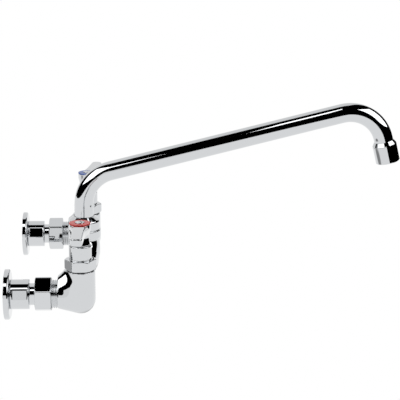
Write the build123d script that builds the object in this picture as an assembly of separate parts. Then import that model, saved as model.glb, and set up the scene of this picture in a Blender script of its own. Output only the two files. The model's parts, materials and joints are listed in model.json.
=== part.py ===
from build123d import *
from math import cos, radians, sin, sqrt, tan
import os

# Commercial wall faucet: two valves on 8 in centres, a union at each inlet and a 12 in swing spout.
# Millimetres, +Z up. The wall is the plane Y = 0 and the faucet reaches towards -Y. The origin is on
# the wall, midway between the inlets at their height. The hot valve is at -X, the cold one at +X.

# layout
INLET_SPACING = 203.2  # 8 in between the inlets
WALL_TO_VALVE = 69.85  # 2 3/4 in from the wall to the valve and spout axes
REACH = 304.8          # 12 in from the spout's axis to the middle of the outlet
RISE = 14.0            # slope of the spout's long run; the outlet leans out by the same angle
RUN_HEIGHT = 86.9      # where the long run's axis meets the riser's, above the inlets
HANDLE_REACH = 54.0    # valve axis to the lever's tip
HOT_LEVER_TURN = -1.2  # how far each lever rests round towards the front
COLD_LEVER_TURN = 10.0
HOT_NUT_TURN = 24.0    # a corner of the coupling nut stands this far above level
COLD_NUT_TURN = 40.0
BONNET_TURN = 1.0      # turn of the bonnet's hexagon

# clearances
RUNNING = 0.05         # radial, a shaft that turns in its bore
GAP = 0.3              # between faces that move past each other
THREAD = 0.05          # radial, a screwed joint
NUT_SLACK = 0.8        # radial, a coupling nut round the shank's neck
GROOVE_SLACK = 0.1     # an O-ring's groove is this much higher than its wire at each side

# valve body
VALVE_R = 13.2
VALVE_BULB = 5.3       # the round bottom's centre, below the inlet axis
VALVE_TOP = 23.6
BRANCH_R = 13.0        # the tail and its elbow, where they meet the barrel
CHAMBER_R = 10.0
SEAT_LEDGE = -2.5      # the ledge that the seat seal sits on
SEAT_R = 6.0
SUMP_R, SUMP_FLOOR = 7.0, -12.0
WEB_R, WEB_TOP = 12.0, 17.0  # the diagonal that fills the elbow, from the valve's axis to the tail's end

# tail of the valve body and its union; distances run from the valve axis to the wall
TAIL_R = 12.9
TAIL_END = 21.2
COLLAR_R = 13.2        # crest of the male thread
COLLAR_END = 34.0
THREAD_PITCH = 1.8
THREAD_DEPTH = 0.55
TAIL_BORE_R = 8.0
FEED_R, FEED_DROP = 3.9, 7.1  # the passage from the tail to the sump
WASHER_THICK = 2.0
LIP_R, LIP_THICK = 12.7, 2.7
NUT_AF = 30.0
NUT_START, NUT_END = 27.0, 42.0
NECK_R = 10.1
NECK_END = 47.2
BARREL_R = 13.8
SHANK_BORE_R = 7.5
PIPE_R, PIPE_DEPTH = 9.9, 15.0  # 1/2 in female pipe thread at its mean radius
FLANGE_R, FLANGE_THICK, FLANGE_ROUND = 23.4, 5.0, 2.0
FLANGE_SEAT_R = 12.5   # the barrel's turned-down rear end
FLAT_START, FLAT_END, FLAT_DEPTH = 48.2, 63.0, 0.9  # two wrench flats on the barrel
HOT_FLAT_TURN, COLD_FLAT_TURN = 15.5, 19.6  # how far the flats' left sides face up

# bonnet and cartridge; heights are above the inlet axis
GASKET_THICK = 0.8
BONNET_AF = 26.0
BONNET_HEX_TOP = 34.1
SLEEVE_R, SLEEVE_TOP = 10.5, 47.6
BONNET_FOOT = 12.0
BONNET_BORE_R = 7.0
BONNET_ROOF = 2.0
CUP_BORE_R = 8.1
SEAL_THICK = 2.1
DISC_R, DISC_THICK = 8.0, 3.0
PORT_R, PORT_OFFSET = 1.9, 4.4
STEM_R, STEM_TOP = 4.0, 62.0
DRIVE_R, DRIVE_THICK = 5.6, 2.5
TANG_WIDE, TANG_DEEP = 2.4, 1.2
STEM_RING_WIRE, STEM_RING_Z = 0.95, 39.0

# handle
HUB_FOOT_R, HUB_WAIST_R, HUB_TOP_R = 9.6, 8.2, 9.9
HUB_WAIST_Z, HUB_TOP = 53.0, 67.6
LEVER_ROOT_WIDE, LEVER_WIDE, LEVER_TIP_WIDE = 18.6, 12.4, 10.4
LEVER_SHOULDER = 26.0  # where the lever has narrowed from the hub's width
LEVER_THICK, LEVER_CORNER = 7.6, 3.0
LEVER_ROOT_Z, LEVER_LIFT = 62.9, 2.3
LEVER_ROUND = 2.2
INDEX_THICK, INDEX_R = 1.0, 9.8
SCREW_R, SCREW_HEAD_R, SCREW_HEAD_TOP = 2.0, 4.5, 70.0

# centre column and cross arms
COLUMN_R, COLUMN_LOW_R = 16.5, 14.4
COLUMN_TOP, COLUMN_TAPER_TOP, DOME_Z = 34.5, 23.0, -2.0
SOCKET_NECK_R, SOCKET_NECK_TOP = 13.2, 40.0
SOCKET_FLOOR = 14.0
WELL_R, WELL_FLOOR = 8.0, -4.0
ARM_Z, ARM_R, ARM_BORE_R = 3.0, 10.0, 5.0
ARM_FLARE_R, ARM_FLARE_REACH = 14.0, 34.0

# spout
TUBE_R, TUBE_WALL = 9.525, 1.2  # 3/4 in tube
BEND_R = 34.925        # 1 3/8 in
TUBE_FOOT = 15.0
SPOUT_NUT_R, SPOUT_NUT_TOP = 15.6, 47.8
SPOUT_NUT_SHOULDER_Z, SPOUT_NUT_ROUND = 42.2, 3.0
SPOUT_NUT_CONE_R, SPOUT_NUT_CONE_TOP = 12.0, 47.2  # the shoulder's cone ends here
SPOUT_COLLAR_R, SPOUT_COLLAR_THICK = 12.4, 2.3
SPOUT_RING_WIRE = 1.0
SPOUT_RING_HEIGHTS = {"lower": 20.6, "upper": 30.0}

# outlet; distances run down the outlet axis from where it meets the long run's axis
OUTLET_DROP = 59.0
FITTING_START, FITTING_SHOULDER, FITTING_END = 37.5, 41.5, 49.0
FITTING_MOUTH_R, OUTLET_R, FITTING_THREAD_R = 9.95, 12.0, 10.7
OUTLET_SEAM = 0.2
AERATOR_WASHER_THICK = 1.6
OUTLET_LIP, OUTLET_LIP_R = 1.6, 9.5
AERATOR_SKIRT_WALL = 1.6
SCREEN_THICK = 0.8

VALVE_Y = -WALL_TO_VALVE
VALVE_X = INLET_SPACING / 2
BONNET_SEAT = VALVE_TOP + GASKET_THICK
DISC_FOOT = SEAT_LEDGE + SEAL_THICK
MOVING_FOOT = DISC_FOOT + DISC_THICK + RUNNING
DRIVE_FOOT = MOVING_FOOT + DISC_THICK
HUB_FOOT = SLEEVE_TOP + GAP
RISER_TO_OUTLET = REACH - OUTLET_DROP * sin(radians(RISE))
OUTLET_TOP = Pos(0, VALVE_Y - RISER_TO_OUTLET, RUN_HEIGHT + RISER_TO_OUTLET * tan(radians(RISE)))
HOT, COLD = -1, 1


def rod(r, low, high):
    return Pos(0, 0, low) * Cylinder(r, high - low, align=(Align.CENTER, Align.CENTER, Align.MIN))


def ring(r_out, r_in, low, high):
    return rod(r_out, low, high) - rod(r_in, low - 1, high + 1)


def turned(*profile):
    """A lathe-turned solid from its (radius, height) outline."""
    outline = Polyline(*[(r, 0, z) for r, z in profile], close=True)
    return revolve(make_face(outline), Axis.Z)


def hexagon(across_flats, low, high, chamfer, turn):
    """A hex prism with both ends turned down to a cone."""
    corner = across_flats / sqrt(3)
    prism = Rot(0, 0, turn) * extrude(RegularPolygon(corner, 6), high - low)
    envelope = turned((0, low), (corner - chamfer, low), (corner, low + chamfer / 2),
                      (corner, high - chamfer / 2), (corner - chamfer, high), (0, high))
    return Pos(0, 0, low) * prism & envelope


def o_ring(inner_r, wire, height):
    return Pos(0, 0, height) * Torus(inner_r + wire, wire)


def quarter_arc(r, height):
    """The outline of a round bottom: from the side at this height down to the axis."""
    half = r / sqrt(2)
    return ThreePointArc((r, 0, height), (half, 0, height - half), (0, 0, height - r))


def at_valve(side):
    return Pos(side * VALVE_X, VALVE_Y, 0)


def to_wall(side):
    """Turns a shape built on +Z into one that runs from the valve axis to the wall."""
    return at_valve(side) * Rot(-90, 0, 0)


def outlet_place():
    """Turns a shape built on +Z into one on the outlet axis, with -Z the way the water falls."""
    return OUTLET_TOP * Rot(-RISE, 0, 0)


# ---------------------------------------------------------------- mixing body

def valve_outside(side):
    barrel = revolve(make_face(
        Polyline((0, 0, -VALVE_BULB - VALVE_R), (0, 0, VALVE_TOP), (VALVE_R, 0, VALVE_TOP),
                 (VALVE_R, 0, -VALVE_BULB))
        + quarter_arc(VALVE_R, -VALVE_BULB)), Axis.Z)
    bulb_end = Plane(origin=(0, 0, -VALVE_BULB), z_dir=(0, 1, 0)) * Circle(BRANCH_R)
    collar_end = Plane(origin=(0, TAIL_END, 0), z_dir=(0, 1, 0)) * Circle(TAIL_R)
    tail = loft([bulb_end.face(), collar_end.face()])
    return at_valve(side) * (barrel + tail + elbow_web())


def elbow_web():
    """The diagonal that fills the elbow between tail and barrel, cut off where the thread starts."""
    down, out = Vector(0, 0, WEB_TOP), Vector(0, TAIL_END, 0)
    web = Plane(origin=down, z_dir=out - down) * rod(WEB_R, -WEB_R, (out - down).length + WEB_R)
    upper_side = (Align.CENTER, Align.MIN, Align.MIN)
    return web & Box(4 * VALVE_R, TAIL_END, VALVE_TOP - 1, align=upper_side)


def collar_outside(side):
    """The male thread that the coupling nut turns on, as rings at its pitch."""
    core = rod(COLLAR_R - THREAD_DEPTH, TAIL_END - 1, COLLAR_END)
    crests = int((COLLAR_END - TAIL_END) / THREAD_PITCH)
    for i in range(crests):
        foot = TAIL_END + (i + 0.5) * THREAD_PITCH
        core += rod(COLLAR_R, foot, foot + THREAD_PITCH / 2)
    return to_wall(side) * core


def valve_inside(side):
    chamber = rod(CHAMBER_R, SEAT_LEDGE, VALVE_TOP + 1)
    sump = rod(SUMP_R, SUMP_FLOOR, SEAT_LEDGE - 1.5) + rod(SEAT_R, SEAT_LEDGE - 2, SEAT_LEDGE + 1)
    tail = rod(TAIL_BORE_R, VALVE_R, COLLAR_END + 1)
    feed = Pos(0, FEED_DROP, 0) * rod(FEED_R, 0, VALVE_R + 2)
    return at_valve(side) * (chamber + sump) + to_wall(side) * (tail + feed)


def column_outside():
    dome = Pos(0, 0, DOME_Z) * Sphere(COLUMN_LOW_R)
    shaft = turned((0, DOME_Z), (COLUMN_LOW_R, DOME_Z), (COLUMN_R, COLUMN_TAPER_TOP),
                   (COLUMN_R, COLUMN_TOP - 0.6), (COLUMN_R - 0.6, COLUMN_TOP), (SOCKET_NECK_R, COLUMN_TOP),
                   (SOCKET_NECK_R, SOCKET_NECK_TOP), (0, SOCKET_NECK_TOP))
    return Pos(0, VALVE_Y, 0) * (dome + shaft)


def column_inside():
    bore = rod(WELL_R, WELL_FLOOR, SOCKET_FLOOR + 1)
    bore += rod(TUBE_R + RUNNING, SOCKET_FLOOR, SOCKET_NECK_TOP + 1)
    groove_r = TUBE_R + RUNNING + 2 * SPOUT_RING_WIRE + THREAD
    for height in SPOUT_RING_HEIGHTS.values():
        bore += rod(groove_r, height - SPOUT_RING_WIRE - GROOVE_SLACK,
                    height + SPOUT_RING_WIRE + GROOVE_SLACK)
    return Pos(0, VALVE_Y, 0) * bore


def arms_outside():
    arm = rod(ARM_R, 0, VALVE_X)
    flare = revolve(make_face(
        Line((0, 0, 0), (ARM_FLARE_R, 0, 0)) + Line((ARM_FLARE_R, 0, 0), (ARM_FLARE_R, 0, COLUMN_LOW_R / 2))
        + Spline((ARM_FLARE_R, 0, COLUMN_LOW_R / 2), (ARM_R, 0, ARM_FLARE_REACH),
                 tangents=[(-0.45, 0, 1), (0, 0, 1)])
        + Line((ARM_R, 0, ARM_FLARE_REACH), (0, 0, ARM_FLARE_REACH))
        + Line((0, 0, ARM_FLARE_REACH), (0, 0, 0))), Axis.Z)
    half = arm + flare
    place = Pos(0, VALVE_Y, ARM_Z)
    return place * (Rot(0, 90, 0) * half) + place * (Rot(0, -90, 0) * half)


def mixing_body():
    body = column_outside() + arms_outside()
    for side in (HOT, COLD):
        body += valve_outside(side) + collar_outside(side)
    bore = Pos(0, VALVE_Y, ARM_Z) * Rot(0, 90, 0) * rod(ARM_BORE_R, -VALVE_X, VALVE_X)
    body -= bore + column_inside()
    for side in (HOT, COLD):
        body -= valve_inside(side)
    return body


# ---------------------------------------------------------------- inlet unions

def inlet_shank(side):
    lip_foot = COLLAR_END + WASHER_THICK
    lip_top = lip_foot + LIP_THICK
    flange_seat = WALL_TO_VALVE - FLANGE_THICK
    shank = turned((0, lip_foot), (LIP_R, lip_foot), (LIP_R, lip_top), (NECK_R, lip_top),
                   (NECK_R, NECK_END), (BARREL_R - 0.8, NECK_END), (BARREL_R, NECK_END + 0.8),
                   (BARREL_R, flange_seat), (FLANGE_SEAT_R, flange_seat),
                   (FLANGE_SEAT_R, WALL_TO_VALVE), (0, WALL_TO_VALVE))
    shank -= rod(SHANK_BORE_R, lip_foot - 1, WALL_TO_VALVE)
    shank -= rod(PIPE_R, WALL_TO_VALVE - PIPE_DEPTH, WALL_TO_VALVE + 1)
    return to_wall(side) * (shank - wrench_flats(HOT_FLAT_TURN if side == HOT else COLD_FLAT_TURN))


def wrench_flats(turn):
    """What is milled off a shank's barrel at two opposite sides."""
    cut = Box(2 * FLAT_DEPTH, 2 * BARREL_R, FLAT_END - FLAT_START)
    middle = (FLAT_START + FLAT_END) / 2
    return Rot(0, 0, turn) * (Pos(BARREL_R, 0, middle) * cut + Pos(-BARREL_R, 0, middle) * cut)


def wall_flange(side):
    front = WALL_TO_VALVE - FLANGE_THICK
    disc = rod(FLANGE_R, front, WALL_TO_VALVE)
    disc = fillet(disc.edges().sort_by(Axis.Z)[0], FLANGE_ROUND)
    disc -= rod(FLANGE_SEAT_R + THREAD, front - 1, WALL_TO_VALVE + 1)
    relief = ring(FLANGE_R - 2.6, FLANGE_SEAT_R + 2.6, WALL_TO_VALVE - 1.2, WALL_TO_VALVE + 1)
    return to_wall(side) * (disc - relief)


def inlet_washer(side):
    return to_wall(side) * ring(LIP_R - 0.2, TAIL_BORE_R, COLLAR_END, COLLAR_END + WASHER_THICK)


def coupling_nut(side, turn):
    web = COLLAR_END + WASHER_THICK + LIP_THICK
    nut = hexagon(NUT_AF, NUT_START, NUT_END, 1.3, turn)
    nut -= rod(COLLAR_R + THREAD, NUT_START - 1, web) + rod(NECK_R + NUT_SLACK, web - 1, NUT_END + 1)
    return to_wall(side) * nut


# ---------------------------------------------------------------- valve internals

def bonnet(side):
    body = hexagon(BONNET_AF, BONNET_SEAT, BONNET_HEX_TOP, 1.1, 30 - side * BONNET_TURN)
    body += turned((0, BONNET_HEX_TOP - 1), (SLEEVE_R, BONNET_HEX_TOP - 1), (SLEEVE_R, SLEEVE_TOP - 0.7),
                   (SLEEVE_R - 0.7, SLEEVE_TOP), (0, SLEEVE_TOP))
    body += rod(CHAMBER_R - THREAD, BONNET_FOOT, BONNET_SEAT + 1)
    body -= rod(BONNET_BORE_R, BONNET_FOOT - 1, SLEEVE_TOP - BONNET_ROOF)
    body -= rod(STEM_R + GAP, SLEEVE_TOP - BONNET_ROOF - 1, SLEEVE_TOP + 1)
    return at_valve(side) * body


def bonnet_gasket(side):
    return at_valve(side) * ring(VALVE_R - 0.9, CHAMBER_R + THREAD, VALVE_TOP, BONNET_SEAT)


def cartridge_body(side):
    roof = SLEEVE_TOP - BONNET_ROOF
    cavity_top = DRIVE_FOOT + DRIVE_THICK + GAP
    body = rod(CHAMBER_R - 0.3, DISC_FOOT, BONNET_FOOT) + rod(BONNET_BORE_R - THREAD, BONNET_FOOT - 1, roof)
    body -= rod(CUP_BORE_R, DISC_FOOT - 1, DRIVE_FOOT) + rod(DRIVE_R + GAP, DRIVE_FOOT - 1, cavity_top)
    body -= rod(STEM_R + RUNNING, cavity_top - 1, roof + 1)
    groove_r = STEM_R + RUNNING + 2 * STEM_RING_WIRE + THREAD
    half_groove = STEM_RING_WIRE + GROOVE_SLACK
    body -= rod(groove_r, STEM_RING_Z - half_groove, STEM_RING_Z + half_groove)
    window = Pos(0, 0, DRIVE_FOOT + DRIVE_THICK / 2) * Rot(0, 90, 0) * rod(1.2, -CHAMBER_R, CHAMBER_R)
    return at_valve(side) * (body - window)


def ceramic_disc(low, radius):
    disc = rod(radius, low, low + DISC_THICK)
    for lean in (-1, 1):
        disc -= Pos(lean * PORT_OFFSET, 0, 0) * rod(PORT_R, low - 1, low + DISC_THICK + 1)
    return disc


def fixed_disc(side):
    return at_valve(side) * ceramic_disc(DISC_FOOT, DISC_R)


def moving_disc(side):
    disc = Rot(0, 0, 90) * ceramic_disc(MOVING_FOOT, DISC_R - 0.1)
    slot = Pos(0, 0, DRIVE_FOOT) * Box(2 * DRIVE_R - 2, TANG_WIDE + 0.1, 2 * TANG_DEEP + 0.1)
    return at_valve(side) * (disc - slot)


def seat_seal(side):
    return at_valve(side) * ring(DISC_R - 0.2, SEAT_R, SEAT_LEDGE, DISC_FOOT)


def stem(side):
    shaft = rod(STEM_R, DRIVE_FOOT, STEM_TOP) + rod(DRIVE_R, DRIVE_FOOT, DRIVE_FOOT + DRIVE_THICK)
    shaft += Pos(0, 0, DRIVE_FOOT - TANG_DEEP / 2) * Box(2 * DRIVE_R - 2.4, TANG_WIDE, TANG_DEEP)
    shaft -= rod(SCREW_R, SLEEVE_TOP + 5, STEM_TOP + 1)
    return at_valve(side) * shaft


def stem_o_ring(side):
    return at_valve(side) * o_ring(STEM_R + RUNNING, STEM_RING_WIRE, STEM_RING_Z)


# ---------------------------------------------------------------- handles

def hub():
    hub_foot_edge = HUB_FOOT + 1.0
    outline = (Polyline((0, 0, HUB_TOP), (0, 0, HUB_FOOT), (HUB_FOOT_R, 0, HUB_FOOT),
                        (HUB_FOOT_R, 0, hub_foot_edge))
               + Spline((HUB_FOOT_R, 0, hub_foot_edge), (HUB_WAIST_R, 0, HUB_WAIST_Z),
                        (HUB_TOP_R, 0, HUB_TOP - 0.6))
               + Polyline((HUB_TOP_R, 0, HUB_TOP - 0.6), (HUB_TOP_R - 0.3, 0, HUB_TOP), (0, 0, HUB_TOP)))
    return revolve(make_face(outline), Axis.Z)


def lever():
    """A flat bar along +X, rising towards its tip. It leaves the hub at the hub's width and narrows."""
    root, half, tip = LEVER_ROOT_WIDE / 2, LEVER_WIDE / 2, LEVER_TIP_WIDE / 2
    slant = (tip - half) / (HANDLE_REACH - LEVER_SHOULDER)
    edge = Spline((0, root), (LEVER_SHOULDER, half), tangents=[(1, 0), (1, slant)])
    outline = (Line((0, -root), (0, root)) + edge + mirror(edge, Plane.XZ)
               + Polyline((LEVER_SHOULDER, half), (HANDLE_REACH, tip), (HANDLE_REACH, -tip),
                          (LEVER_SHOULDER, -half)))
    plan = make_face(outline)
    plan = fillet(plan.vertices().filter_by(lambda v: v.X > HANDLE_REACH - 0.01), LEVER_CORNER)
    bar = extrude(plan, LEVER_THICK / 2, both=True)
    bar = fillet(bar.edges().filter_by(lambda e: abs(e.center().Z) > LEVER_THICK / 2 - 0.01
                                       and e.center().X > 1), LEVER_ROUND)
    return Pos(0, 0, LEVER_ROOT_Z) * Rot(0, -LEVER_LIFT, 0) * bar


def handle(side):
    body = hub() + lever()
    body -= rod(STEM_R, HUB_FOOT - 1, STEM_TOP) + rod(SCREW_R + 0.2, STEM_TOP - 1, HUB_TOP + 1)
    body -= rod(STEM_R + 2.4, HUB_FOOT - 1, HUB_FOOT + 1.6)
    return at_valve(side) * lever_turn(side) * body


def lever_turn(side):
    return Rot(0, 0, 180 + HOT_LEVER_TURN) if side == HOT else Rot(0, 0, -COLD_LEVER_TURN)


def index_ring(side):
    low, high = HUB_TOP, HUB_TOP + INDEX_THICK
    body = turned((SCREW_HEAD_R + 0.2, low), (INDEX_R, low), (INDEX_R, high - 0.5), (INDEX_R - 0.5, high),
                  (SCREW_HEAD_R + 0.2, high))
    return at_valve(side) * body


def handle_screw(side):
    crown = 1.2
    head = rod(SCREW_HEAD_R, HUB_TOP, SCREW_HEAD_TOP)
    head = fillet(head.edges().sort_by(Axis.Z)[-1], crown)
    head -= Pos(0, 0, SCREW_HEAD_TOP) * Box(2 * SCREW_HEAD_R - 2.4, 0.9, 1.6)
    return at_valve(side) * (head + rod(SCREW_R, SLEEVE_TOP + 6, HUB_TOP + 1))


# ---------------------------------------------------------------- spout

def spout_nut():
    outer = turned((0, COLUMN_TOP), (SPOUT_NUT_R - 0.4, COLUMN_TOP), (SPOUT_NUT_R, COLUMN_TOP + 0.4),
                   (SPOUT_NUT_R, SPOUT_NUT_SHOULDER_Z), (SPOUT_NUT_CONE_R, SPOUT_NUT_CONE_TOP),
                   (TUBE_R + GAP, SPOUT_NUT_TOP), (0, SPOUT_NUT_TOP))
    shoulder = outer.edges().filter_by(lambda e: abs(e.center().Z - SPOUT_NUT_SHOULDER_Z) < 0.1)
    outer = fillet(shoulder, SPOUT_NUT_ROUND)
    web = SOCKET_NECK_TOP + SPOUT_COLLAR_THICK + 2 * GAP
    bore = rod(SOCKET_NECK_R + THREAD, COLUMN_TOP - 1, web) + rod(TUBE_R + GAP, web - 1, SPOUT_NUT_TOP + 1)
    return Pos(0, VALVE_Y, 0) * (outer - bore)


def spout_path():
    up, out = (0, 0, 1), (0, -cos(radians(RISE)), sin(radians(RISE)))
    down = (0, -sin(radians(RISE)), -cos(radians(RISE)))
    first = BEND_R * tan(radians(90 - RISE) / 2)
    corner = Vector(0, VALVE_Y, RUN_HEIGHT)
    far = Vector(*OUTLET_TOP.position)
    foot = Vector(0, VALVE_Y, TUBE_FOOT)
    rise_end, run_start = corner - Vector(*up) * first, corner + Vector(*out) * first
    run_end, fall_start = far - Vector(*out) * BEND_R, far + Vector(*down) * BEND_R
    fall_end = far + Vector(*down) * FITTING_END
    return (Line(foot, rise_end) + TangentArc(rise_end, run_start, tangent=up)
            + Line(run_start, run_end) + TangentArc(run_end, fall_start, tangent=out)
            + Line(fall_start, fall_end))


def spout_tube():
    section = Plane(origin=(0, VALVE_Y, TUBE_FOOT)) * (Circle(TUBE_R) - Circle(TUBE_R - TUBE_WALL))
    return sweep(section, path=spout_path())


def spout_collar():
    foot = SOCKET_NECK_TOP + GAP
    return Pos(0, VALVE_Y, 0) * ring(SPOUT_COLLAR_R, TUBE_R, foot, foot + SPOUT_COLLAR_THICK)


def spout_o_ring(which):
    return Pos(0, VALVE_Y, 0) * o_ring(TUBE_R + RUNNING, SPOUT_RING_WIRE, SPOUT_RING_HEIGHTS[which])


# ---------------------------------------------------------------- outlet

def outlet_fitting():
    body = turned((0, -FITTING_START), (FITTING_MOUTH_R, -FITTING_START),
                  (OUTLET_R, -FITTING_SHOULDER + 0.6), (OUTLET_R, -FITTING_SHOULDER),
                  (FITTING_THREAD_R, -FITTING_SHOULDER),
                  (FITTING_THREAD_R, -FITTING_END), (0, -FITTING_END))
    return outlet_place() * (body - rod(TUBE_R, -FITTING_END - 1, -FITTING_START + 1))


def aerator_housing():
    top, lip_top = -FITTING_SHOULDER - OUTLET_SEAM, -OUTLET_DROP + OUTLET_LIP
    body = turned((0, top), (OUTLET_R, top), (OUTLET_R, -OUTLET_DROP + 0.6), (OUTLET_R - 0.6, -OUTLET_DROP),
                  (0, -OUTLET_DROP))
    body -= rod(FITTING_THREAD_R + THREAD, lip_top, top + 1)
    body -= rod(OUTLET_LIP_R, -OUTLET_DROP - 1, lip_top + 1)
    return outlet_place() * body


def aerator_washer():
    foot = -FITTING_END - AERATOR_WASHER_THICK
    return outlet_place() * ring(FITTING_THREAD_R - 0.1, TUBE_R - TUBE_WALL, foot, -FITTING_END)


def holes(rings, pitch, r, low, high):
    """Hole centres on rings round the middle, six more on each ring."""
    cut = rod(r, low, high)
    for k in range(1, rings + 1):
        for i in range(6 * k):
            cut += Rot(0, 0, i * 60 / k) * Pos(k * pitch, 0, 0) * rod(r, low, high)
    return cut


def aerator_insert():
    top, foot = -FITTING_END - AERATOR_WASHER_THICK, -OUTLET_DROP + OUTLET_LIP
    outer = FITTING_THREAD_R - 0.1
    body = ring(outer, outer - AERATOR_SKIRT_WALL, foot, top)
    plate = rod(outer - 0.5, top - 2.4, top - 1.2) - holes(3, 2.3, 0.7, top - 3, top)
    return outlet_place() * (body + plate)


def aerator_screen():
    foot = -OUTLET_DROP + OUTLET_LIP + 0.6
    outer = FITTING_THREAD_R - 0.1 - AERATOR_SKIRT_WALL
    return outlet_place() * (rod(outer, foot, foot + SCREEN_THICK) - holes(5, 1.6, 0.5, foot - 1, foot + 2))


def all_parts():
    parts = {"mixing_body": mixing_body(), "spout_nut": spout_nut(), "spout_tube": spout_tube(),
             "spout_collar": spout_collar(), "outlet_fitting": outlet_fitting(),
             "aerator_housing": aerator_housing(), "aerator_washer": aerator_washer(),
             "aerator_insert": aerator_insert(), "aerator_screen": aerator_screen()}
    for which in SPOUT_RING_HEIGHTS:
        parts[f"spout_o_ring_{which}"] = spout_o_ring(which)
    per_side = {"wall_flange": wall_flange, "inlet_shank": inlet_shank, "inlet_washer": inlet_washer,
                "bonnet": bonnet, "bonnet_gasket": bonnet_gasket, "cartridge_body": cartridge_body,
                "fixed_disc": fixed_disc, "moving_disc": moving_disc, "seat_seal": seat_seal, "stem": stem,
                "stem_o_ring": stem_o_ring, "handle": handle, "index_ring": index_ring,
                "handle_screw": handle_screw}
    for name, side, turn in (("hot", HOT, HOT_NUT_TURN), ("cold", COLD, COLD_NUT_TURN)):
        parts[f"{name}_coupling_nut"] = coupling_nut(side, turn)
        for piece, make in per_side.items():
            parts[f"{name}_{piece}"] = make(side)
    return parts


os.makedirs("parts", exist_ok=True)
for name, shape in all_parts().items():
    export_step(shape, f"parts/{name}.step")
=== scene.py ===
import bmesh
import bpy
import json
import numpy as np
from math import atan2, cos, hypot, pi, radians, sin, sqrt, tan, tanh
from mathutils import Matrix, Vector


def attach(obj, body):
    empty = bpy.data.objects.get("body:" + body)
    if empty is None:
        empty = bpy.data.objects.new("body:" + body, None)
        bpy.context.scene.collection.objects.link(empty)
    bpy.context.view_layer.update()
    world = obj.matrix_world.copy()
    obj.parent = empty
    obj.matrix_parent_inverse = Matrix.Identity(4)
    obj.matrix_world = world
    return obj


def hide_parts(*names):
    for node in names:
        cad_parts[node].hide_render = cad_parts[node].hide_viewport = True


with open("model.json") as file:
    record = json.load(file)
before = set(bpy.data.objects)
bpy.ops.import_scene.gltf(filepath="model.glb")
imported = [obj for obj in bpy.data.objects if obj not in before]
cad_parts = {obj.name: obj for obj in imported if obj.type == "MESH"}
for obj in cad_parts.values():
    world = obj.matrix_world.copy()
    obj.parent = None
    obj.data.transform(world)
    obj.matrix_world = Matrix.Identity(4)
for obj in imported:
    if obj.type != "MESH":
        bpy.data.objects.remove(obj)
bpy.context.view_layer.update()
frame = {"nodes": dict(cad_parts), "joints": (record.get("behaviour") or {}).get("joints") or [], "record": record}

joints = {joint["name"]: joint for joint in frame["joints"]}


# ---- camera ------------------------------------------------------------------------------------
# The view that the part is matched in: from the hot side, a little above the inlets, through a long lens,
# with the spout to the right. The lens is kept as its focal length in pixels of a 400-pixel square picture.

PHOTO_WIDTH = 400
FOCAL_PIXELS = 1194.0
CAMERA_PLACE = (-1.1589, -0.1173, 0.3623)
CAMERA_DOWN, CAMERA_YAW, CAMERA_ROLL = 14.455, -3.389, 0.531

camera = bpy.data.objects.new("camera", bpy.data.cameras.new("camera"))
bpy.context.scene.collection.objects.link(camera)
bpy.context.scene.camera = camera
camera.location = CAMERA_PLACE
camera.rotation_euler = (Matrix.Rotation(radians(CAMERA_YAW - 90), 3, "Z")
                         @ Matrix.Rotation(radians(90 - CAMERA_DOWN), 3, "X")
                         @ Matrix.Rotation(radians(CAMERA_ROLL), 3, "Z")).to_euler()
camera.data.lens = FOCAL_PIXELS / PHOTO_WIDTH * camera.data.sensor_width
camera.data.clip_start, camera.data.clip_end = 0.05, 50


# ---- casting -----------------------------------------------------------------------------------
# The mixing body is one brass casting: a bulged column with a straight band for the spout, an arm to each
# side that swells towards it, and at each arm's end a round-bottomed valve barrel whose elbow to the inlet
# is filled by a web. Its joins are smooth hollows, buffed and chrome plated. Sizes are in millimetres, and
# turns in degrees.

VALVE_X = joints["cold_turn"]["pos_m"][0] * 1000
VALVE_Y = joints["cold_turn"]["pos_m"][1] * 1000
SIDES = {"hot": -1, "cold": 1}
VALVE_R, VALVE_BULB, VALVE_TOP = 13.2, 5.3, 23.6
BRANCH_R, TAIL_R, TAIL_END = 13.0, 12.9, 21.2
WEB_R, WEB_TOP, WEB_START, WEB_FOOT_ROUND = 12.0, 17.0, -2.0, 3.0
BAND_R, BAND_FOOT, BAND_ROUND, COLUMN_TOP = 16.5, 25.7, 1.5, 34.5
COLUMN_R, COLUMN_FOOT = 14.9, 8.6
BULGE_R, BULGE_Z, BULGE_UP, BULGE_DOWN = 15.5, 13.6, 25.5, 31.0
ARM_Z, ARM_R = 4.0, 10.0
ARM_SWELL, SWELL_REACH = 4.6, 25.0
COLUMN_BLEND, VALVE_BLEND, ELBOW_BLEND = 20.0, 9.0, 18.0
CAST_EDGE, TURNED_EDGE = 1.0, 0.8
CAST_CELL = 0.7
ROOM_ASIDE, ROOM_AHEAD, ROOM_BELOW, ROOM_BEYOND = 3.0, 19.0, 21.0, 2.0


def linear(hex_colour):
    """An sRGB hex value as the linear colour that the shader takes."""
    parts = [int(hex_colour[i:i + 2], 16) / 255 for i in (0, 2, 4)]
    return [c / 12.92 if c <= 0.04045 else ((c + 0.055) / 1.055) ** 2.4 for c in parts] + [1.0]


def finish(name, colour, roughness, metallic=0.0):
    """One even surface, from its sRGB colour and roughness; metallic is 1 for bare or plated metal."""
    material = bpy.data.materials.new(name)
    material.use_nodes = True
    shader = material.node_tree.nodes["Principled BSDF"]
    shader.inputs["Base Color"].default_value = linear(colour)
    shader.inputs["Metallic"].default_value = metallic
    shader.inputs["Roughness"].default_value = roughness
    return material


def piece(name, mesh, normals, place, material):
    """A smooth object from a mesh in millimetres and its true normals, with its place in its mesh."""
    mesh.transform(Matrix.Scale(0.001, 4) @ place)
    mesh.shade_smooth()
    mesh.normals_split_custom_set_from_vertices((normals @ np.array(place)[:3, :3].T).tolist())
    mesh.materials.append(material)
    obj = bpy.data.objects.new(name, mesh)
    bpy.context.scene.collection.objects.link(obj)
    return obj


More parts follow.
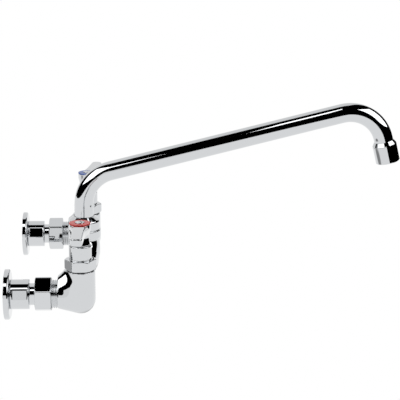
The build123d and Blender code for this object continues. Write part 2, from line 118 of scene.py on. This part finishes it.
def slope(field, points, step=0.01):
    """The field's gradient at some points."""
    parts = []
    for axis in range(3):
        shift = np.zeros(3)
        shift[axis] = step
        parts.append((field(*(points + shift).T) - field(*(points - shift).T)) / (2 * step))
    return np.stack(parts, -1)


def grown(name, field, low, high, cell, place, material, rounds=8, least=0.05):
    """The surface where a distance field is zero, looked for between two corners of a box.

    It is a net of quads with the field's own normals, drawn on to the surface in a few rounds.
    It makes the forms whose edges no operator gives: cast hollows, and flats and cones that meet in curves.
    """
    low = np.array(low, float)
    axes = [np.arange(a, b + cell, cell) for a, b in zip(low, high)]
    inside = field(*np.meshgrid(*axes, indexing="ij")) < 0
    cells = np.array(inside.shape) - 1
    count = np.zeros(cells, int)
    for i, j, k in np.ndindex(2, 2, 2):
        count += inside[i:i + cells[0], j:j + cells[1], k:k + cells[2]]
    crossed = (count > 0) & (count < 8)
    number = np.full(cells, -1)
    number[crossed] = np.arange(crossed.sum())
    points = low + (np.argwhere(crossed) + 0.5) * cell
    for _ in range(rounds):
        gradient = slope(field, points)
        size = np.maximum((gradient ** 2).sum(1), least)
        move = np.clip(field(*points.T) / size, -cell, cell)
        points = points - gradient * move[:, None]
    normals = slope(field, points)
    normals /= np.linalg.norm(normals, axis=1)[:, None]
    faces = []
    for axis in range(3):
        one, two = np.eye(3, dtype=int)[(axis + 1) % 3], np.eye(3, dtype=int)[(axis + 2) % 3]
        here = np.take(inside, range(cells[axis]), axis)
        there = np.take(inside, range(1, cells[axis] + 1), axis)
        for outward, pattern in ((True, here & ~there), (False, ~here & there)):
            edges = np.argwhere(pattern)
            corners = [edges - one - two, edges - two, edges, edges - one]
            quads = np.stack([number[tuple(c.T)] for c in corners], 1)
            faces += (quads if outward else quads[:, ::-1]).tolist()
    mesh = bpy.data.meshes.new(name)
    mesh.from_pydata(points.tolist(), [], faces)
    return piece(name, mesh, normals, place, material)


def union(a, b, blend):
    """Two solids as one, with a hollow of about this size in the corner between them."""
    near = np.maximum(blend - np.abs(a - b), 0) / blend
    return np.minimum(a, b) - near ** 2 * blend / 4


def common(a, b, blend):
    """What two solids share, with its new edge rounded."""
    return -union(-a, -b, blend)


def square(one, two):
    """1 where surfaces that face these ways cross squarely, falling to 0 where they run side by side."""
    shared = sum(a * b for a, b in zip(one, two))
    size = np.sqrt(sum(a * a for a in one) * sum(b * b for b in two))
    return np.clip(1 - shared / np.maximum(size, 1e-6), 1e-3, 1)


def slab(value, low, high):
    """Distance outside the space between two planes."""
    return np.abs(value - (low + high) / 2) - (high - low) / 2


def column(x, y, z):
    """The column inside and below its band, without its arms."""
    across, height = np.hypot(x, y), z - BULGE_Z
    squashed = np.where(height > 0, height / BULGE_UP, height / BULGE_DOWN) * BULGE_R
    straight = np.maximum(across - COLUMN_R, COLUMN_FOOT - z)
    solid = union(np.hypot(across, squashed) - BULGE_R, straight, BAND_ROUND)
    return common(solid, z - COLUMN_TOP + CAST_EDGE, CAST_EDGE)


def valve(out, y, z):
    """The barrel, the tail to the inlet and the web that fills the corner between them."""
    under = np.minimum(z + VALVE_BULB, 0)
    barrel = common(np.hypot(np.hypot(out, y), under) - VALVE_R, z - VALVE_TOP, TURNED_EDGE)
    along = np.clip(y / TAIL_END, 0, 1)
    drop = z + VALVE_BULB * (1 - along)
    tail = common(np.hypot(out, drop) - BRANCH_R + (BRANCH_R - TAIL_R) * along, -y, CAST_EDGE)
    tail = common(tail, y - TAIL_END, TURNED_EDGE)
    length = hypot(TAIL_END, WEB_TOP)
    off = (y * WEB_TOP + (z - WEB_TOP) * TAIL_END) / length
    web = common(np.hypot(out, off) - WEB_R, slab(y, WEB_START, TAIL_END), TURNED_EDGE)
    web = common(web, -z, WEB_FOOT_ROUND)
    web_out = (out, off * WEB_TOP / length, off * TAIL_END / length)
    solid = union(barrel, tail, ELBOW_BLEND * square((out, y, under), (out, 0 * y, drop)))
    solid = union(solid, web, ELBOW_BLEND * square((out, y, under), web_out))
    return common(common(solid, z - VALVE_TOP, TURNED_EDGE), y - TAIL_END, TURNED_EDGE)


def casting(x, y, z):
    swollen = ARM_R + ARM_SWELL * np.exp(-(x / SWELL_REACH) ** 2)
    arm = common(np.hypot(y, z - ARM_Z) - swollen, np.abs(x) - VALVE_X, CAST_EDGE)
    along_arm = (0 * x, y, z - ARM_Z)
    low = np.minimum(z - BULGE_Z, 0) * (BULGE_R / BULGE_DOWN) ** 2
    body = union(column(x, y, z), arm, COLUMN_BLEND * square((x, y, low), along_arm))
    band = common(common(np.hypot(x, y) - BAND_R, z - COLUMN_TOP, CAST_EDGE), BAND_FOOT - z, BAND_ROUND)
    body = union(body, band, BAND_ROUND)
    out = np.abs(x) - VALVE_X
    facing = (out, y, np.minimum(z + VALVE_BULB, 0))
    return union(body, valve(out, y, z), VALVE_BLEND * square(facing, along_arm))


# Bright chrome electroplate on buffed brass: an almost neutral mirror, a shade under white, with no haze.
chrome = finish("mirror_chrome_plate", "d2d4d6", 0.03, metallic=1.0)

column_place = Matrix.Translation((0, VALVE_Y, 0))
reach = VALVE_X + VALVE_R + ROOM_ASIDE
body = grown("casting", casting, (-reach, -ROOM_AHEAD, -ROOM_BELOW),
             (reach, TAIL_END + ROOM_BEYOND, COLUMN_TOP + ROOM_BEYOND), CAST_CELL, column_place, chrome)
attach(body, "faucet_body")
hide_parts("mixing_body")


# ---- inlet threads -----------------------------------------------------------------------------
# The end of each elbow is turned down and cut with a male thread before plating, so it is of one piece with
# the casting. The coupling nut runs on it and leaves a few turns bare.

COLLAR_R, COLLAR_END, COLLAR_SINK = 13.2, 34.0, 0.5
THREAD_PITCH, THREAD_DEPTH, THREAD_SQUARENESS = 1.8, 0.55, 2.0
THREAD_STEPS = 16


def at_valve(side):
    return Matrix.Translation((side * VALVE_X, VALVE_Y, 0))


def to_wall(side):
    """Turns a piece built on +Z into one that runs from the valve to the wall."""
    return at_valve(side) @ Matrix.Rotation(radians(-90), 4, "X")


def lathe(shape, steps):
    """Spins a shape's one line of vertices round the Z axis."""
    bmesh.ops.spin(shape, geom=shape.verts[:] + shape.edges[:], cent=(0, 0, 0), axis=(0, 0, 1), angle=2 * pi,
                   steps=steps, use_merge=True)
    bmesh.ops.recalc_face_normals(shape, faces=shape.faces)


def to_mesh(name, shape):
    mesh = bpy.data.meshes.new(name)
    shape.to_mesh(mesh)
    shape.free()
    return mesh


def thread(name, low, high, place, material, around=96):
    """A straight line spun to a tube, whose points then move in and out along a helix."""
    rows = int((high - low) / THREAD_PITCH * THREAD_STEPS)
    shape = bmesh.new()
    line = [shape.verts.new((COLLAR_R, 0, height)) for height in np.linspace(low, high, rows)]
    for pair in zip(line, line[1:]):
        shape.edges.new(pair)
    lathe(shape, around)
    normals = []
    for vert in shape.verts:
        angle = atan2(vert.co.y, vert.co.x)
        phase = 2 * pi * vert.co.z / THREAD_PITCH - angle
        crest = tanh(THREAD_SQUARENESS * sin(phase)) / tanh(THREAD_SQUARENESS)
        radius = COLLAR_R - THREAD_DEPTH / 2 * (1 - crest)
        steep = (1 - (crest * tanh(THREAD_SQUARENESS)) ** 2) * THREAD_SQUARENESS * cos(phase)
        rise = steep / tanh(THREAD_SQUARENESS) * THREAD_DEPTH / 2 * 2 * pi / THREAD_PITCH
        vert.co = (radius * cos(angle), radius * sin(angle), vert.co.z)
        normals.append(Vector((cos(angle), sin(angle), -rise)).normalized())
    return piece(name, to_mesh(name, shape), np.array(normals), place, material)


for name, side in SIDES.items():
    collar = thread(f"{name}_inlet_thread", TAIL_END - COLLAR_SINK, COLLAR_END, to_wall(side), chrome)
    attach(collar, "faucet_body")


# ---- unions ------------------------------------------------------------------------------------
# Each inlet is a plated brass shank, turned from bar with two wrench flats milled on its barrel. A hexagonal
# coupling nut behind its lip pulls it on to the thread, and a round plated flange with a rounded front edge
# covers its hole in the wall.

NUT_START, NUT_END, NUT_AF, NUT_CHAMFER = 27.0, 42.0, 30.0, 1.5
NUT_TURN = {"hot": 24.0, "cold": 40.0}
NUT_BORE_R, NUT_NECK_R, NUT_WEB = 13.25, 10.9, 38.7
CORNER_BLUNT, HEX_EDGE, CHAMFER_EDGE, BORE_EDGE = 0.25, 0.4, 0.5, 0.3
CHAMFER_ACROSS, CHAMFER_ALONG = 0.5, 0.87
NECK_R, NECK_END, NECK_FILLET, BARREL_R, BARREL_ROUND = 10.1, 47.2, 0.6, 13.8, 1.0
FLAT_START, FLAT_END, FLAT_DEPTH, FLAT_RUNOUT = 48.2, 63.0, 0.9, 1.0
FLAT_TURN = {"hot": 15.5, "cold": 19.6}
LIP_R, LIP_FOOT, SHANK_EDGE = 12.7, 36.0, 0.4
WALL_TO_VALVE = -VALVE_Y
FLANGE_R, FLANGE_THICK, FLANGE_ROUND, FLANGE_EDGE = 23.4, 5.0, 2.0, 0.3
FLANGE_SEAT_R, FLANGE_SLACK, SEAT_SINK = 12.5, 0.05, 1.0
FLANGE_FRONT, FLANGE_RIM, FLANGE_HOLLOW = WALL_TO_VALVE - FLANGE_THICK, 2.6, 1.2
PIPE_R, PIPE_DEPTH, SHANK_BORE_R = 9.9, 15.0, 7.5
UNION_CELL = 0.4
NUT_ROOM, SHANK_ROOM = 18, 15


def rounded(outline, steps=6):
    """Points and outward normals round an outline of (radius, height, rounding) corners.

    Its first corner stays square, and the line starts and ends there.
    """
    corners = [Vector(corner[:2]) for corner in outline + outline[:1]]
    along = [(there - here).normalized() for here, there in zip(corners, corners[1:])]
    points, normals = corners[:1], [-along[0].orthogonal()]
    for here, first, last, (_, _, rounding) in zip(corners[1:], along, along[1:], outline[1:]):
        turn = atan2(first.cross(last), first.dot(last))
        bend = 1 if turn > 0 else -1
        middle = here - first * rounding * abs(tan(turn / 2)) + first.orthogonal() * bend * rounding
        for k in range(steps + 1):
            out = Matrix.Rotation(turn * k / steps, 2) @ -first.orthogonal()
            points.append(middle + out * bend * rounding)
            normals.append(out)
    return points + corners[-1:], normals + [-along[-1].orthogonal()]


def turned(name, outline, place, material, around=128):
    """A lathe-turned piece, spun from its outline, which runs up the outside."""
    shape = bmesh.new()
    lean = shape.verts.layers.float_vector.new("lean")
    line = []
    for point, normal in zip(*rounded(outline)):
        line.append(shape.verts.new((point[0], 0, point[1])))
        line[-1][lean] = (normal[0], 0, normal[1])
    for pair in zip(line, line[1:]):
        shape.edges.new(pair)
    lathe(shape, around)
    normals = []
    for vert in shape.verts:
        angle = atan2(vert.co.y, vert.co.x)
        normals.append((vert[lean].x * cos(angle), vert[lean].x * sin(angle), vert[lean].z))
    return piece(name, to_mesh(name, shape), np.array(normals), place, material)


def hexagon(x, y, past_end, across_flats, turn, chamfer):
    """Distance outside a hexagonal bar whose corners are turned down to a low cone at each end."""
    across = np.hypot(x, y)
    angle = np.arctan2(y, x) - radians(turn)
    corner_r = across_flats / sqrt(3)
    flats = across * np.cos(angle % (pi / 3) - pi / 6) - across_flats / 2
    bar = common(flats, across - corner_r + CORNER_BLUNT, HEX_EDGE)
    cone = CHAMFER_ACROSS * (across - corner_r + chamfer) + CHAMFER_ALONG * past_end
    return common(common(bar, cone, CHAMFER_EDGE), past_end, HEX_EDGE)


def coupling_nut(turn):
    """The nut on +Z, with its first corner at this angle."""
    def field(x, y, z):
        across = np.hypot(x, y)
        bar = hexagon(x, y, slab(z, NUT_START, NUT_END), NUT_AF, turn, NUT_CHAMFER)
        bore = np.where(z < NUT_WEB, across - NUT_BORE_R, across - NUT_NECK_R)
        return common(bar, -bore, BORE_EDGE)
    return field


def shank(turn):
    """The shank on +Z, with a flat on each side of its barrel."""
    def field(x, y, z):
        across = np.hypot(x, y)
        sideways = np.abs(x * cos(radians(turn)) + y * sin(radians(turn)))
        milled = common(BARREL_R - FLAT_DEPTH - sideways, slab(z, FLAT_START, FLAT_END), FLAT_RUNOUT)
        barrel = common(across - BARREL_R, slab(z, NECK_END, FLANGE_FRONT), BARREL_ROUND)
        barrel = common(barrel, -milled, BORE_EDGE)
        lip = common(across - LIP_R, slab(z, LIP_FOOT, NUT_WEB), SHANK_EDGE)
        neck = common(across - NECK_R, slab(z, LIP_FOOT, FLANGE_FRONT), SHANK_EDGE)
        seat = common(across - FLANGE_SEAT_R, slab(z, FLANGE_FRONT - SEAT_SINK, WALL_TO_VALVE), SHANK_EDGE)
        solid = np.minimum(np.minimum(union(barrel, neck, NECK_FILLET), lip), seat)
        bore = np.where(z > WALL_TO_VALVE - PIPE_DEPTH, across - PIPE_R, across - SHANK_BORE_R)
        return common(solid, -bore, SHANK_EDGE)
    return field


flange_bore = FLANGE_SEAT_R + FLANGE_SLACK
flange_outline = (
    (flange_bore, WALL_TO_VALVE),
    (flange_bore, FLANGE_FRONT, FLANGE_EDGE),
    (FLANGE_R, FLANGE_FRONT, FLANGE_ROUND),
    (FLANGE_R, WALL_TO_VALVE, FLANGE_EDGE),
    (FLANGE_R - FLANGE_RIM, WALL_TO_VALVE, FLANGE_EDGE),
    (FLANGE_R - FLANGE_RIM, WALL_TO_VALVE - FLANGE_HOLLOW, FLANGE_EDGE),
    (FLANGE_SEAT_R + FLANGE_RIM, WALL_TO_VALVE - FLANGE_HOLLOW, FLANGE_EDGE),
    (FLANGE_SEAT_R + FLANGE_RIM, WALL_TO_VALVE, FLANGE_EDGE))
for name, side in SIDES.items():
    nut = grown(f"{name}_union_nut", coupling_nut(NUT_TURN[name]), (-NUT_ROOM, -NUT_ROOM, NUT_START - 1),
                (NUT_ROOM, NUT_ROOM, NUT_END + 1), UNION_CELL, to_wall(side), chrome)
    pipe = grown(f"{name}_shank", shank(FLAT_TURN[name]), (-SHANK_ROOM, -SHANK_ROOM, LIP_FOOT - 1),
                 (SHANK_ROOM, SHANK_ROOM, WALL_TO_VALVE + 1), UNION_CELL, to_wall(side), chrome)
    flange = turned(f"{name}_flange", flange_outline, to_wall(side), chrome)
    for obj, node in ((nut, "coupling_nut"), (pipe, "inlet_shank"), (flange, "wall_flange")):
        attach(obj, "faucet_body")
        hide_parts(f"{name}_{node}")


# ---- bonnets -----------------------------------------------------------------------------------
# Each bonnet closes its valve: turned from hexagonal brass bar, with a smooth round sleeve above the wrench
# hexagon, and chrome plated. It screws into the valve barrel and holds the cartridge down.

BONNET_SEAT, BONNET_HEX_TOP, BONNET_AF, BONNET_CHAMFER = 24.4, 34.1, 26.0, 1.4
SLEEVE_R, SLEEVE_TOP, SLEEVE_ROUND, SLEEVE_FILLET = 10.5, 47.6, 1.2, 1.0
STEM_HOLE_R, BONNET_ROOM = 4.3, 16
BONNET_TURN = {"hot": 31.0, "cold": 29.0}


def bonnet(turn):
    """The bonnet on +Z, with its first corner at this angle."""
    def field(x, y, z):
        across = np.hypot(x, y)
        bar = hexagon(x, y, slab(z, BONNET_SEAT, BONNET_HEX_TOP), BONNET_AF, turn, BONNET_CHAMFER)
        sleeve = common(across - SLEEVE_R, z - SLEEVE_TOP, SLEEVE_ROUND)
        sleeve = common(sleeve, BONNET_SEAT - z, BORE_EDGE)
        return common(union(bar, sleeve, SLEEVE_FILLET), STEM_HOLE_R - across, BORE_EDGE)
    return field


for name, side in SIDES.items():
    cap = grown(f"{name}_valve_bonnet", bonnet(BONNET_TURN[name]),
                (-BONNET_ROOM, -BONNET_ROOM, BONNET_SEAT - 1), (BONNET_ROOM, BONNET_ROOM, SLEEVE_TOP + 1),
                UNION_CELL, at_valve(side), chrome)
    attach(cap, "faucet_body")
    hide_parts(f"{name}_bonnet")


# ---- handles -----------------------------------------------------------------------------------
# Each handle is one metal casting, buffed and chrome plated: a waisted hub that drops over the stem, and a
# flat lever that grows out of it, rises a little and narrows to its tip. Its edges soften towards the hub.

HUB_FOOT, HUB_TOP, HUB_BORE_R = 47.9, 67.6, 4.0
HUB_FOOT_R, HUB_WAIST_R, HUB_TOP_R, HUB_WAIST_Z = 9.6, 8.4, 9.9, 55.0
WAIST_SOFTNESS, WAIST_QUICKNESS = 0.12, 6
HANDLE_REACH = 54.0
LEVER_ROOT_Z, LEVER_LIFT = 62.6, 2.4
LEVER_ROOT_HALF, LEVER_HALF, LEVER_TIP_HALF, LEVER_SHOULDER = 9.4, 6.2, 5.2, 30.0
LEVER_ROOT_THICK, LEVER_TIP_THICK = 9.8, 7.2
LEVER_CORNER, LEVER_CREST, LEVER_FILLET = 4.0, 3.5, 2.5
FACE_REACH = 12.0
HUB_TOP_EDGE, HUB_FOOT_EDGE, FACE_EDGE = 0.6, 0.5, 0.3
LEVER_CELL = 0.5
HANDLE_ROOM, HANDLE_ROOM_TOP = 12, 74
LEVER_TURN = {"hot": 178.8, "cold": -10.0}


def hub_radius(z):
    """A straight cone from the foot to the waist, and a flare from there that soon runs straight."""
    low = np.clip((HUB_WAIST_Z - z) / (HUB_WAIST_Z - HUB_FOOT), 0, 1)
    high = np.clip((z - HUB_WAIST_Z) / (HUB_TOP - HUB_WAIST_Z), 0, 1)
    flare = (high - WAIST_SOFTNESS * (1 - (1 - high) ** WAIST_QUICKNESS)) / (1 - WAIST_SOFTNESS)
    return HUB_WAIST_R + (HUB_FOOT_R - HUB_WAIST_R) * low + (HUB_TOP_R - HUB_WAIST_R) * flare


def handle(x, y, z):
    """The handle on its stem, with its lever along +X."""
    across = np.hypot(x, y)
    hub = common(common(across - hub_radius(z), z - HUB_TOP, HUB_TOP_EDGE), HUB_FOOT - z, HUB_FOOT_EDGE)
    part = np.clip(x / HANDLE_REACH, 0, 1)
    centre = LEVER_ROOT_Z + x * tan(radians(LEVER_LIFT))
    narrowed = np.clip(x / LEVER_SHOULDER, 0, 1)
    half = LEVER_HALF + (LEVER_TIP_HALF - LEVER_HALF) * part
    half = half + (LEVER_ROOT_HALF - LEVER_HALF) * (1 - 3 * narrowed ** 2 + 2 * narrowed ** 3)
    thick = LEVER_ROOT_THICK + (LEVER_TIP_THICK - LEVER_ROOT_THICK) * part
    plan = common(common(np.abs(y) - half, x - HANDLE_REACH, LEVER_CORNER), -x, HUB_FOOT_EDGE)
    bar = common(plan, np.abs(z - centre) - thick / 2, half - LEVER_CREST)
    solid = common(union(hub, bar, LEVER_FILLET), z - HUB_TOP - np.maximum(x - FACE_REACH, 0), FACE_EDGE)
    return common(solid, HUB_BORE_R - across, FACE_EDGE)


for name, side in SIDES.items():
    turn = at_valve(side) @ Matrix.Rotation(radians(LEVER_TURN[name]), 4, "Z")
    grip = grown(f"{name}_lever_casting", handle, (-HANDLE_ROOM, -HANDLE_ROOM, HUB_FOOT - 1),
                 (HANDLE_REACH + 1, HANDLE_ROOM, HANDLE_ROOM_TOP), LEVER_CELL, turn, chrome)
    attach(grip, f"{name}_lever")
    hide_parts(f"{name}_handle")


# ---- index rings and screws --------------------------------------------------------------------
# A thin injection-moulded ring lies on each hub, red for hot and blue for cold. A low-domed slotted brass
# screw, chrome plated, passes through it into the stem and holds both ring and handle.

RING_TOP, RING_R = 68.6, 9.8
RING_SLACK, RING_EDGE, RING_INNER_EDGE, RING_FOOT_EDGE = 0.2, 0.4, 0.1, 0.2
SCREW_R, SCREW_EDGE, SCREW_TOP = 4.5, 69.1, 70.0
SCREW_RIM, SCREW_FOOT_EDGE = 0.4, 0.2
SLOT_WIDE, SLOT_DEEP, SLOT_EDGE = 0.9, 0.8, 0.1
SCREW_CELL, SCREW_ROOM, SCREW_ROOM_OVER = 0.15, 5, 0.5
SCREW_TURN = {"hot": 35.0, "cold": 20.0}


def screw_head(x, y, z):
    """The head on +Z, with its slot along X."""
    across = np.hypot(x, y)
    rise = SCREW_TOP - SCREW_EDGE
    dome_r = (SCREW_R ** 2 + rise ** 2) / (2 * rise)
    dome = np.hypot(across, z - SCREW_TOP + dome_r) - dome_r
    head = common(common(across - SCREW_R, HUB_TOP - z, SCREW_FOOT_EDGE), dome, SCREW_RIM)
    cut = common(np.abs(y) - SLOT_WIDE / 2, SCREW_TOP - SLOT_DEEP - z, SLOT_EDGE)
    return common(head, -cut, SCREW_FOOT_EDGE)


# Coloured through and moulded against a polished tool: a clear, even colour with a soft plastic gloss.
ring_plastic = {"hot": finish("red_polypropylene", "d8342c", 0.25),
                "cold": finish("blue_polypropylene", "2a5ab0", 0.25)}

ring_bore = SCREW_R + RING_SLACK
ring_outline = ((ring_bore, HUB_TOP), (RING_R, HUB_TOP, RING_FOOT_EDGE),
                (RING_R, RING_TOP, RING_EDGE), (ring_bore, RING_TOP, RING_INNER_EDGE))
for name, side in SIDES.items():
    ring = turned(f"{name}_ring", ring_outline, at_valve(side), ring_plastic[name])
    turn = at_valve(side) @ Matrix.Rotation(radians(SCREW_TURN[name]), 4, "Z")
    screw = grown(f"{name}_screw_head", screw_head, (-SCREW_ROOM, -SCREW_ROOM, HUB_TOP - SCREW_ROOM_OVER),
                  (SCREW_ROOM, SCREW_ROOM, SCREW_TOP + SCREW_ROOM_OVER), SCREW_CELL, turn, chrome)
    for obj, node, slot in ((ring, "index_ring", "red_plastic" if name == "hot" else "blue_plastic"),
                            (screw, "handle_screw", "polished_chrome")):
        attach(obj, f"{name}_lever")
        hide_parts(f"{name}_{node}")


# ---- spout nut ---------------------------------------------------------------------------------
# A round nut, turned from brass bar and chrome plated, with a conical shoulder. It screws on to the column
# and holds the spout's collar down, while the tube turns in its mouth.

NUT_R, NUT_FOOT_EDGE, NUT_TOP, MOUTH_R, MOUTH_EDGE = 15.6, 0.5, 47.8, 9.825, 0.1
SHOULDER_Z, SHOULDER_ROUND = 43.6, 2.5
CONE_R, CONE_TOP, CONE_EDGE = 10.6, 47.3, 0.5
SOCKET_R, SOCKET_WEB = 13.25, 42.9

spout_nut = turned("spout_union_nut", (
    (SOCKET_R, COLUMN_TOP), (NUT_R, COLUMN_TOP, NUT_FOOT_EDGE), (NUT_R, SHOULDER_Z, SHOULDER_ROUND),
    (CONE_R, CONE_TOP, CONE_EDGE), (MOUTH_R, NUT_TOP, MOUTH_EDGE), (MOUTH_R, SOCKET_WEB, MOUTH_EDGE),
    (SOCKET_R, SOCKET_WEB, MOUTH_EDGE)), column_place, chrome)
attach(spout_nut, "faucet_body")
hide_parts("spout_nut")


# ---- spout and inner parts ---------------------------------------------------------------------
# The spout is a drawn brass tube, bent and chrome plated, with a turned outlet fitting brazed to its end and
# an aerator screwed on it; their solids are already their true forms. So are those of the cartridges, seals
# and discs, which show only in a section or with a part taken off.

# Turned brass is a warm gold with a faint haze from the tool, and perforated stainless a cool grey one.
# Moulded rubber is a dull near-black, and pressed fibre a duller dark grey. Lapped alumina is a glossy
# off-white, and moulded acetal a softer white.
finishes = {"polished_chrome": chrome,
            "brass": finish("turned_brass", "c9a45c", 0.3, metallic=1.0),
            "black_rubber": finish("nitrile_rubber", "1a1a1a", 0.6),
            "grey_fibre": finish("pressed_fibre", "444446", 0.8),
            "white_ceramic": finish("lapped_alumina", "ebe9e2", 0.15),
            "white_plastic": finish("acetal", "e4e4e0", 0.35),
            "stainless_mesh": finish("stainless_screen", "c8cacc", 0.3, metallic=1.0),
            "red_plastic": ring_plastic["hot"],
            "blue_plastic": ring_plastic["cold"]}
for part in frame["record"]["subparts"]:
    obj = frame["nodes"][part["node"]]
    obj.data.materials.clear()
    obj.data.materials.append(finishes[part["material_slot"]])


# ---- studio ------------------------------------------------------------------------------------
# What the chrome reflects: a white table and backdrop, a large soft light on each side, and behind the
# camera a small high light and a low card, in an unlit room. The faucet's own shade dims the table in two
# places. The camera sees none of it, only plain white. Sizes are in metres.

TABLE_Z = -0.05
TABLE_X = (-5.9, 0.812)
TABLE_Y = (-0.485, 1.65)
TABLE_SHADES = (((0.03, 0.17), (0.08, 0.08), 0.42), ((0.04, -0.08), (0.13, 0.035), 0.3))
SHADE_CORE, SHADE_RIM = 0.6, 1.2
BACKDROP_Y, BACKDROP_TOP, BACKDROP_GLOW = (-0.739, 0.985), 3.788, 0.87
LIGHT_GLOW = 2.2
LEFT_LIGHT, LEFT_LIGHT_SIZE = (-0.758, 1.119, 1.240), (1.888, 1.291)
RIGHT_LIGHT, RIGHT_LIGHT_SIZE = (-0.477, -1.739, 1.244), (2.139, 1.360)
AIM = (0, -0.2, 0.08)
FAR_LIGHT_X, FAR_LIGHT_Y, FAR_LIGHT_Z = (-4.6, -3.01), (0.327, 0.967), (6.51, 7.63)
CARD_X, CARD_Y, CARD_TOP, CARD_GLOW = -1.5, (-0.45, 0.2), (0.0, 0.37), 0.9


def add(tree, kind, settings=None, links=None):
    """Adds a node, sets its sockets or properties by name, and links its inputs."""
    node = tree.nodes.new(kind)
    for name, value in (settings or {}).items():
        if name in node.inputs:
            node.inputs[name].default_value = value
        else:
            setattr(node, name, value)
    for name, source in (links or {}).items():
        tree.links.new(source, node.inputs[name])
    return node


def glowing(name, corners, strength):
    """A flat glowing card through four corners."""
    material = bpy.data.materials.new(name)
    material.use_nodes = True
    tree = material.node_tree
    glow = add(tree, "ShaderNodeEmission", {"Strength": strength})
    tree.links.new(glow.outputs[0], tree.nodes["Material Output"].inputs["Surface"])
    shape = bmesh.new()
    shape.faces.new([shape.verts.new(corner) for corner in corners])
    mesh = to_mesh(name, shape)
    mesh.materials.append(material)
    obj = bpy.data.objects.new(name, mesh)
    bpy.context.scene.collection.objects.link(obj)
    obj.visible_camera = False
    return obj


def shaded(obj, spots):
    """Darkens a card softly round some spots, each given by its middle, its size and its least light."""
    tree = obj.data.materials[0].node_tree
    place = add(tree, "ShaderNodeTexCoord")
    left = add(tree, "ShaderNodeValue")
    left.outputs[0].default_value = 1.0
    for middle, size, least in spots:
        spot = add(tree, "ShaderNodeMapping", {"Location": (-middle[0] / size[0], -middle[1] / size[1], 0),
                                               "Scale": (1 / size[0], 1 / size[1], 0)},
                   {"Vector": place.outputs["Object"]})
        away = add(tree, "ShaderNodeVectorMath", {"operation": "LENGTH"}, {0: spot.outputs[0]})
        fade = add(tree, "ShaderNodeMapRange", {"interpolation_type": "SMOOTHSTEP", "From Min": SHADE_CORE,
                                                "From Max": SHADE_RIM, "To Min": least, "To Max": 1.0},
                   {"Value": away.outputs["Value"]})
        left = add(tree, "ShaderNodeMath", {"operation": "MULTIPLY"},
                   {0: left.outputs[0], 1: fade.outputs[0]})
    tree.links.new(left.outputs[0], tree.nodes["Emission"].inputs["Strength"])


def soft_light(name, centre, size):
    """A glowing card that faces the faucet."""
    centre = Vector(centre)
    facing = (Vector(AIM) - centre).normalized()
    side = Vector((0, 0, 1)).cross(facing).normalized() * size[0] / 2
    up = facing.cross(side).normalized() * size[1] / 2
    corners = [centre + side * across + up * along for across, along in ((-1, -1), (1, -1), (1, 1), (-1, 1))]
    glowing(name, corners, LIGHT_GLOW)


world = bpy.data.worlds.new("studio")
bpy.context.scene.world = world
world.use_nodes = True
background = world.node_tree.nodes["Background"]
path = add(world.node_tree, "ShaderNodeLightPath")
background.inputs["Color"].default_value = (1, 1, 1, 1)
world.node_tree.links.new(path.outputs["Is Camera Ray"], background.inputs["Strength"])

glowing("far_light", [(FAR_LIGHT_X[row], FAR_LIGHT_Y[end], FAR_LIGHT_Z[row])
                      for row, end in ((0, 0), (0, 1), (1, 1), (1, 0))], LIGHT_GLOW)
glowing("low_card", ((CARD_X, CARD_Y[0], TABLE_Z), (CARD_X, CARD_Y[1], TABLE_Z),
                     (CARD_X, CARD_Y[1], CARD_TOP[1]), (CARD_X, CARD_Y[0], CARD_TOP[0])), CARD_GLOW)
table = glowing("table", ((TABLE_X[0], TABLE_Y[0], TABLE_Z), (TABLE_X[1], TABLE_Y[0], TABLE_Z),
                          (TABLE_X[1], TABLE_Y[1], TABLE_Z), (TABLE_X[0], TABLE_Y[1], TABLE_Z)), 1.0)
shaded(table, TABLE_SHADES)
glowing("backdrop", ((TABLE_X[1], BACKDROP_Y[0], TABLE_Z), (TABLE_X[1], BACKDROP_Y[1], TABLE_Z),
                     (TABLE_X[1], BACKDROP_Y[1], BACKDROP_TOP), (TABLE_X[1], BACKDROP_Y[0], BACKDROP_TOP)),
        BACKDROP_GLOW)
soft_light("soft_light_left", LEFT_LIGHT, LEFT_LIGHT_SIZE)
soft_light("soft_light_right", RIGHT_LIGHT, RIGHT_LIGHT_SIZE)

bpy.context.scene.view_settings.view_transform = "Standard"
